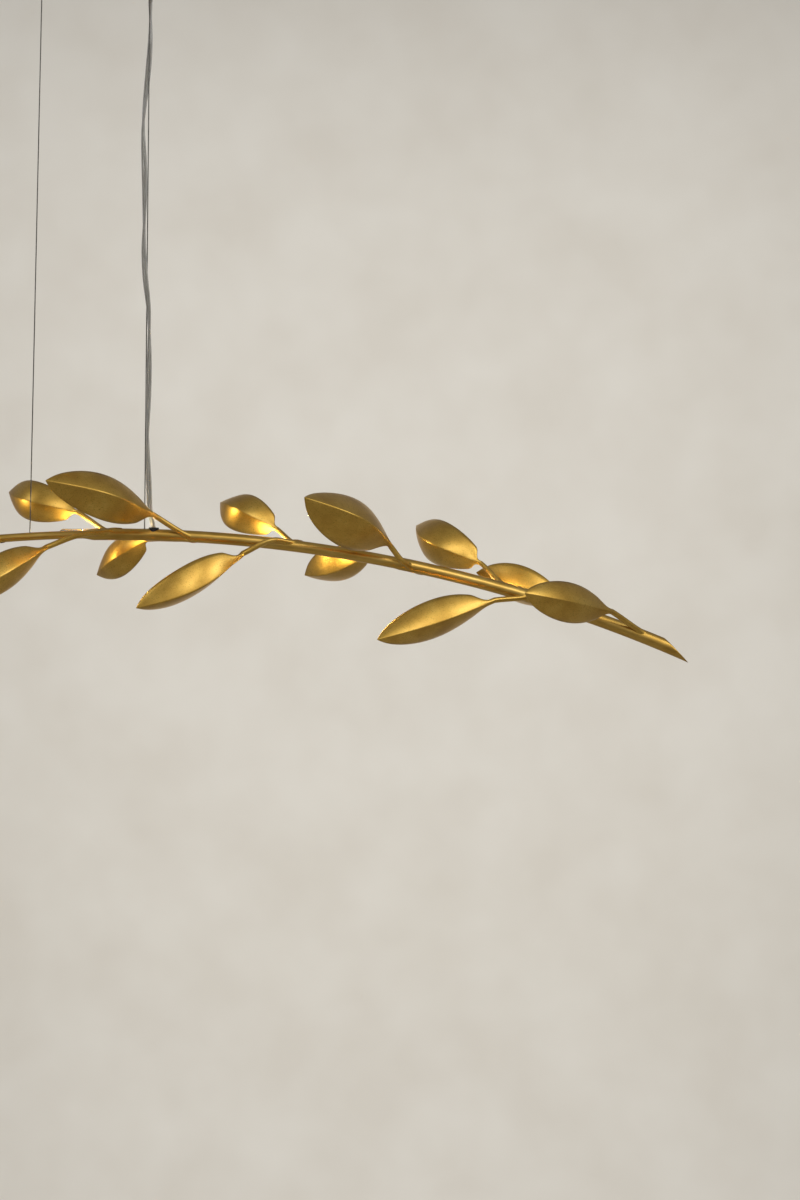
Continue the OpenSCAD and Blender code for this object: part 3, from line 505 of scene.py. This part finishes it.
def leavesRound(x, p, way, reach):
    # how far along way a line through p leaves the round of this radius about the stem
    w = way - along(x) * way.dot(along(x))
    q = p - along(x) * p.dot(along(x))
    half = q.dot(w)
    return (-half + math.sqrt(max(0.0, half ** 2 - w.dot(w) * (q.dot(q) - reach ** 2)))) / w.dot(w)


def makeLeaf(number, row):
    x, deg, base, tip, turn, twist, halfWidth, bow, fold = row
    isLast = number == len(leaves["rows"])
    thinner = 0.9 if x < stem["jointX"][2] else 1
    r = thinner * (leaves["stalkFrontD"] if base[1] > 0 else leaves["stalkBackD"]) / 2
    if isLast:
        r = stem["tubeR"][-1] - 0.9
    b, e = beside(x, base), beside(x, tip)
    line = (e - b).normalized()
    face = squareTo(Vector((0, -1, 0)), line)
    side = line.cross(face)

    def facing(t):
        angle = math.radians(turn + twist * (t - 0.5))
        return face * math.cos(angle) + side * math.sin(angle)

    n = facing(0)
    rad, reach = roundStem(x, deg), outerR(x) - 0.2
    off = rad.cross(along(x))
    foot = Vector() if isLast else rad * reach
    root = stemAt(x) + foot
    wayOut = -along(x) if isLast else stalkWay(x, b - root, rad, off, reach + 0.5, r)
    rn = squareTo(n, wayOut)
    rs = wayOut.cross(rn)
    section = foldProfile(fold)
    section = [(-u, -a, d, -t) for u, a, d, t in reversed(section[1:])] + section
    count = len(section)
    ringCount = 2 * count + 2
    shares = [section[k][0] if k < count else 1 if k == count else -1 if k == ringCount - 1
              else section[2 * count - k][0] for k in range(ringCount)]

    def circlePoint(k, radius, s1, n1):
        # k runs over the front from one edge to the other, then back behind
        if k in (count, ringCount - 1):
            angle = 0.0 if k == count else math.pi
        else:
            angle = math.radians(90 - 78 * shares[k]) * (1 if k < count else -1)
        return s1 * (radius * math.cos(angle)) + n1 * (radius * math.sin(angle))

    def bladePoint(k, width, thick, s1, n1):
        top = k < count
        u, a, d, t = section[k if top else count - 1 if k == count else 0 if k == ringCount - 1 else 2 * count - k]
        if k in (count, ringCount - 1):
            out = (s1 * math.cos(t) - n1 * math.sin(t)) * (0.3 if k == count else -0.3)
        else:
            out = (n1 * math.cos(t) + s1 * math.sin(t)) * (0.5 if top else -0.5)
        return s1 * (a * width) - n1 * (d * width) + out * thick

    points, maps = [], []
    far = [0.0 if isLast else leavesRound(x, foot + circlePoint(i, r, rs, rn), wayOut, reach)
           for i in range(ringCount)]
    firstMm = 7.5 if isLast else max(far) + 1.2
    weldRings = 1 if isLast else 9
    for k in range(weldRings):
        # the weld flares out onto the stem and leaves it at a shallow slope
        share = k / max(1, weldRings - 1)
        grown = r * (1 + (0 if isLast else 0.5 * (1 - share) ** 2.6))
        lift = share ** 1.7
        for i in range(ringCount):
            o = circlePoint(i, grown, rs, rn)
            rise = 0.0 if isLast else leavesRound(x, foot + o, wayOut, reach)
            points.append(root + o + wayOut * (rise * (1 - lift) + firstMm * lift))
            maps.append((shares[i] * 8, -44 + k))
    start = root + wayOut * firstMm
    bladeWay = ((e - b + facing(0.5) * bow * math.pi).normalized() * 0.25 + (b - start).normalized()).normalized()
    pull = (b - start).length * 0.34
    path = [start, start + wayOut * pull, b - bladeWay * pull, b]
    stalkRings = 18
    for j in range(0 if isLast else 1, stalkRings):
        t = j / stalkRings
        q = 1 - t
        at = path[0] * q ** 3 + path[1] * (3 * t * q * q) + path[2] * (3 * t * t * q) + path[3] * t ** 3
        way = (path[1] - path[0]) * q * q + (path[2] - path[1]) * (2 * t * q) + (path[3] - path[2]) * t * t
        sn = squareTo(n, way.normalized())
        ss = way.normalized().cross(sn)
        for i in range(ringCount):
            points.append(at + circlePoint(i, r, ss, sn))
            maps.append((shares[i] * 8, -34 + 34 * t))
    bladeRings = 48
    kind = "front" if base[1] > 0 else "back"
    for j in range(bladeRings + 1):
        t = 0.4985 * (1 - math.cos(math.pi * j / bladeRings))
        nt = facing(t)
        st = line.cross(nt)
        middle = b + (e - b) * t + facing(0.5) * (bow * math.sin(math.pi * t))
        opened = smoothStep(t / leaves["opening"][kind])
        width = halfWidth * bladeWidth(t, kind)
        thin = leaves["sheet"] * min(1, 0.4 + 6 * (1 - t))
        for i in range(ringCount):
            points.append(middle + circlePoint(i, r, st, nt) * (1 - opened)
                          + bladePoint(i, width, thin, st, nt) * opened)
            maps.append((shares[i] * halfWidth, t * (e - b).length))
    rings = len(points) // ringCount
    faces = ringFaces(rings, ringCount)
    faces.append(tuple(range(ringCount)))
    faces.append(tuple(reversed([(rings - 1) * ringCount + i for i in range(ringCount)])))
    piece = newPiece("leaf%02dGilded" % number, points, faces, leafGold)
    uv = piece.data.uv_layers.new(name="leafMap")
    for loop in piece.data.loops:
        u, v = maps[loop.vertex_index]
        uv.data[loop.index].uv = (u * mm + number * 0.37, v * mm)
    bm = bmesh.new()
    bm.from_mesh(piece.data)
    bmesh.ops.recalc_face_normals(bm, faces=bm.faces)
    bm.to_mesh(piece.data)
    bm.free()
    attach(piece, "branch")
    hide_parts("leaf_%02d" % number)


for number, row in enumerate(leaves["rows"], 1):
    makeLeaf(number, row)
print("leaves made")


# wires, springs and cords

def splinePoints(route, steps):
    # smooth curve through the route's points
    out = []
    for i in range(len(route) - 1):
        a, b, c, d = route[max(i - 1, 0)], route[i], route[i + 1], route[min(i + 2, len(route) - 1)]
        for k in range(steps):
            t = k / steps
            out.append(0.5 * (2 * b + (c - a) * t + (2 * a - 5 * b + 4 * c - d) * t * t
                              + (3 * b - a - 3 * c + d) * t ** 3))
    return out + [route[-1]]


def carriedFrames(path, startWay):
    # a sideways vector at each point, carried along without twist
    frames, up = [], startWay
    for i, p in enumerate(path):
        way = (path[min(i + 1, len(path) - 1)] - path[max(i - 1, 0)]).normalized()
        up = squareTo(up, way)
        frames.append((p, way, up, way.cross(up)))
    return frames


def helixTubes(path, startWay, tubes, offsetMm, radiusMm, pitchMm, sides):
    # tubes wound round the path; returns points and faces
    points, faces = [], []
    frames = carriedFrames(path, startWay)
    run = [0.0]
    for a, b in zip(path, path[1:]):
        run.append(run[-1] + (b - a).length)
    for tube in range(tubes):
        first = len(points)
        centres = []
        for (p, way, up, across), far in zip(frames, run):
            a = 2 * math.pi * (tube / tubes + far / pitchMm)
            centres.append(p + up * (offsetMm * math.cos(a)) + across * (offsetMm * math.sin(a)))
        for p, way, up, across in carriedFrames(centres, startWay):
            for k in range(sides):
                a = 2 * math.pi * k / sides
                points.append(p + up * (radiusMm * math.cos(a)) + across * (radiusMm * math.sin(a)))
        rings = len(centres)
        faces += ringFaces(rings, sides, first=first)
        faces.append(tuple(first + k for k in reversed(range(sides))))
        faces.append(tuple(first + (rings - 1) * sides + k for k in range(sides)))
    return points, faces


def evenly(path, stepMm):
    # the same line with points at even distances
    out, left = [path[0]], stepMm
    for a, b in zip(path, path[1:]):
        size = (b - a).length
        at = left
        while at < size:
            out.append(a + (b - a) * (at / size))
            at += stepMm
        left = at - size
    if (out[-1] - path[-1]).length > stepMm * 0.3:
        out.append(path[-1])
    else:
        out[-1] = path[-1]
    return out


# six strands laid round each other make the 1.2 mm wire
wireLay = {"strands": 6, "layR": 0.4, "strandR": 0.2, "pitch": 11.0}


def twistedWire(name, path, body, node):
    points, faces = helixTubes(evenly(path, 1.4), Vector((0, 1, 0)), wireLay["strands"], wireLay["layR"],
                               wireLay["strandR"], wireLay["pitch"], 6)
    piece = newPiece(name, points, faces, cable)
    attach(piece, body)
    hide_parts(node)


for side, body, node in ((-1, "left_wire", "wire_left"), (1, "right_wire", "wire_right")):
    top = Vector((side * suspension["gapTop"] / 2, 0, suspension["bendZ"] + 0.4))
    twistedWire("twistedWire" + ("Left" if side < 0 else "Right"), [top, stopAt(side)], body, node)

cord = {
    "d": 5.6, "coreR": 1.4, "conductorR": 0.6, "pitch": 210.0,
    "route": [
        (54, 16, -43.8), (54, 15.6, -52), (53.8, 13, -64), (53.6, 10, -76), (54.2, 7.2, -90),
        (54.7, 5, -108), (54.4, 4.2, -124), (53.5, 4, -140), (52.3, 3.6, -156), (51, 2.4, -172),
        (49.9, 1, -188), (49.4, 0, -204), (50, -0.6, -220), (51, -1.2, -236), (52.2, -2.4, -266),
        (52.3, -3, -300), (52.4, -3.4, -326), (54.5, -4.2, -354), (56.8, -4.2, -372),
        (58.7, -3.6, -392), (59.5, -2.6, -430), (59.4, -2.8, -468), (59.1, -3.4, -506),
        (59.9, -2.8, -536), (61.3, -1.6, -564), (61.9, -1, -578), (62.8, -0.4, -588),
        (64.8, 0, -597), (66.2, 0, -601.6), (66.4, 0, -604.5), (66.4, 0, -608),
    ],
    "canopyRoute": [
        (54, 16, -43.5), (54, 16, -36), (54, 16, -29), (54.3, 16.6, -24), (55, 20, -20),
        (55, 25, -19.5), (52, 29.5, -19.5), (47, 32, -19.5), (40.3, 33, -19.5),
    ],
}


def twinCord(name, path):
    # two clear cores laid side by side and twisted, each round its own strands
    line = evenly(path, 1.6)
    startWay = Vector((1, 0, 0))
    points, faces = helixTubes(line, startWay, 2, cord["coreR"], cord["coreR"], cord["pitch"], 14)
    inside, insideFaces = helixTubes(line, startWay, 2, cord["coreR"], cord["conductorR"], cord["pitch"], 8)
    shift = len(points)
    piece = newPiece(name, points + inside, faces + [tuple(shift + v for v in f) for f in insideFaces], jacket)
    piece.data.materials.append(strands)
    for polygon in list(piece.data.polygons)[len(faces):]:
        polygon.material_index = 1
    return piece, line


cordPath = splinePoints([Vector(p) for p in cord["route"]], 6)
cordPiece, cordLine = twinCord("twinCord", cordPath)
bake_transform(cordPiece)
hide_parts("power_cord")

leadPiece = twinCord("canopyLead", splinePoints([Vector(p) for p in cord["canopyRoute"]], 6))[0]
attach(leadPiece, "ceiling_set")
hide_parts("canopy_lead")
print("cords made")


# lamps

def revolve(profile, origin, way, up, segments=28):
    # profile: (distance along way, radius)
    points, faces = [], []
    across = way.cross(up)
    for far, r in profile:
        for k in range(segments):
            a = 2 * math.pi * k / segments
            points.append(origin + way * far + up * (r * math.cos(a)) + across * (r * math.sin(a)))
    faces += ringFaces(len(profile), segments)
    faces.append(tuple(reversed(range(segments))))
    faces.append(tuple((len(profile) - 1) * segments + k for k in range(segments)))
    return points, faces


def join(parts):
    points, faces = [], []
    for p, f in parts:
        shift = len(points)
        points += p
        faces += [tuple(shift + v for v in face) for face in f]
    return points, faces


def domed(lengthMm, radiusMm, start, steps=8):
    cylinder = [(start, radiusMm * 0.86), (start + 0.5, radiusMm)]
    end = start + lengthMm - radiusMm
    angles = [math.pi / 2 * k / steps for k in range(steps + 1)]
    dome = [(end + radiusMm * math.sin(a), max(0.05, radiusMm * math.cos(a))) for a in angles]
    return cylinder + dome


bulbLight = {"watts": 0.22, "colour": "#FFE9B4", "radiusMm": 4.0}

envelopes, bases, cores = [], [], []
for unit, (x, deg) in enumerate(lampUnits["places"]):
    centre = stemAt(x) + roundStem(x, deg) * lampUnits["off"]
    for hand in (-1, 1):
        way, up = along(x) * hand, roundStem(x, deg)
        baseStart = lampUnits["carrierHalf"] + lampUnits["socketL"] + 0.1
        glassStart = baseStart + lampUnits["baseL"]
        r = lampUnits["bulbD"] / 2
        bases.append(revolve([(baseStart, r - 0.5), (baseStart + 0.4, r), (glassStart - 1.2, r),
                              (glassStart, r - 0.7), (glassStart + 0.6, r - 1.3)], centre, way, up))
        for pin in (-1, 1):
            pinAt = centre + way.cross(up) * (pin * 2) * hand
            bases.append(revolve([(baseStart - 7, 0.3), (baseStart + 1, 0.35)], pinAt, way, up, 10))
        envelopes.append(revolve(domed(lampUnits["bulbL"], r, glassStart), centre, way, up))
        cores.append(revolve([(glassStart + 0.8, 1.5), (glassStart + 1.2, 2.1), (glassStart + 15.6, 2.1),
                              (glassStart + 16.4, 1.4)], centre, way, up, 16))
        light = bpy.data.lights.new("bulbGlow", "POINT")
        light.energy = bulbLight["watts"]
        light.color = linear(bulbLight["colour"])[:3]
        light.shadow_soft_size = bulbLight["radiusMm"] * mm
        glow = bpy.data.objects.new("bulbGlow%d%s" % (unit + 1, "L" if hand < 0 else "R"), light)
        scene.collection.objects.link(glow)
        glow.location = (centre + way * (glassStart + 10)) * mm
        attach(glow, "branch")

bulbGlass = newPiece("bulbGlass", *join(envelopes), glass)
bulbBases = newPiece("bulbBases", *join(bases), steatite)
bulbCores = newPiece("bulbCores", *join(cores), phosphor)
for piece in (bulbGlass, bulbBases, bulbCores):
    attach(piece, "branch")
    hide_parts("bulbs")
    piece.visible_shadow = False  # the point lights stand inside the bulbs and shine out of them
print("lamps made")


# springs

spring = {"turns": 5, "meanR": 2.3, "wire": 0.5, "low": -64.4, "high": -57.0}
for side, word in ((-1, "left"), (1, "right")):
    low = spring["low"] + 0.1 + spring["wire"] / 2 + 0.1
    high = spring["high"] - spring["wire"] / 2 - 0.2
    steps = spring["turns"] * 24
    coil = [Vector((side * suspension["gapTop"] / 2 + spring["meanR"] * math.cos(2 * math.pi * k / 24),
                    spring["meanR"] * math.sin(2 * math.pi * k / 24), low + (high - low) * k / steps))
            for k in range(steps + 1)]
    points, faces = helixTubes(coil, Vector((0, 0, 1)), 1, 0, spring["wire"] / 2, 10, 10)
    piece = newPiece("coilSpring" + word.title(), points, faces, springSteel)
    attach(piece, "release_" + word)
    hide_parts("spring_" + word)
print("springs made")


# the frame's own parts

finishes = {
    "ceiling_bracket": zinc, "canopy_cup": canopyGold, "canopy_side_screws": brass, "clevis_left": brass,
    "clevis_right": brass, "clevis_nuts": zinc, "clevis_pins": zinc, "led_driver": whitePlastic,
    "driver_screws": zinc, "terminal_block": whitePlastic, "terminal_screws": brass, "earth_screw": brass,
    "cord_bush": blackRubber, "gripper_barrel_left": brass, "gripper_barrel_right": brass, "wire_tails": cable,
    "plunger_left": brass, "plunger_right": brass, "wire_stop_left": cable, "wire_stop_right": cable,
    "cord_grommet": blackRubber, "stem_sleeves": brass, "stem_end_plate": tubeGold, "stem_lead": softWhite,
    "lamp_arms": tubeGold, "lamp_sockets": steatite,
}
for name, material in finishes.items():
    data = nodes[name].data
    data.materials.clear()
    data.materials.append(material)
print("frame parts finished")


# studio

# a sheet of paper runs under and behind the lamp; the wall stands clear of a camera that looks from behind
studio = {
    "floorZ": -3500.0, "frontY": -7000.0, "wallY": 6500.0, "wallTop": 4500.0, "halfWidth": 9000.0, "bend": 1500.0,
    "paper": ("#D6D0C5", "#DCD7CD"), "cloudMm": 300, "worldGrey": "#DFE0E2", "worldStrength": 0.36,
    "lampAim": (0.3, 0, -0.6),
    # name, place in metres, size in metres, watts
    "panels": (("frontPanel", (0.3, -3.6, 0.4), 3.0, 8), ("topLight", (0.8, -2.75, 1.3), 1.0, 19),
               ("sideLight", (2.5, -1.65, 1.3), 1.0, 26), ("leftLight", (-2.0, -1.2, 1.6), 0.9, 9)),
}


def makeStage():
    points, profile = [], [(studio["frontY"], studio["floorZ"])]
    bend, bendSteps = studio["bend"], 12
    for k in range(bendSteps + 1):
        a = math.pi / 2 * k / bendSteps
        profile.append((studio["wallY"] - bend + bend * math.sin(a), studio["floorZ"] + bend - bend * math.cos(a)))
    profile.append((studio["wallY"], studio["wallTop"]))
    for y, z in profile:
        points += [Vector((x, y, z)) for x in (-studio["halfWidth"], studio["halfWidth"])]
    # matt pale paper with a faint unevenness
    material, tree, shader = newMaterial("paper")
    clouds = noise(tree, objectPlace(tree), studio["cloudMm"], 2.0)
    tone = ramp(tree, clouds, [(0.3, studio["paper"][0]), (0.7, studio["paper"][1])])
    tree.links.new(tone, shader.inputs["Base Color"])
    shader.inputs["Roughness"].default_value = 0.9
    stage = newPiece("stage", points, ringFaces(len(profile), 2, closed=False), material)


def areaLight(name, place, target, size, watts):
    data = bpy.data.lights.new(name, "AREA")
    data.energy, data.size = watts, size
    light = bpy.data.objects.new(name, data)
    scene.collection.objects.link(light)
    light.location = place
    light.rotation_euler = (Vector(target) - Vector(place)).to_track_quat("-Z", "Y").to_euler()


makeStage()
for name, place, size, watts in studio["panels"]:
    areaLight(name, place, studio["lampAim"], size, watts)
# faces away from the lamp and lights the paper wall alone
areaLight("wallLight", (0.3, 4.9, -0.7), (0.3, 6.5, -0.9), 5.4, 74)
world = bpy.data.worlds.new("studio")
scene.world = world
world.use_nodes = True
background = world.node_tree.nodes["Background"]
background.inputs[0].default_value = linear(studio["worldGrey"])
background.inputs[1].default_value = studio["worldStrength"]
print("studio made")
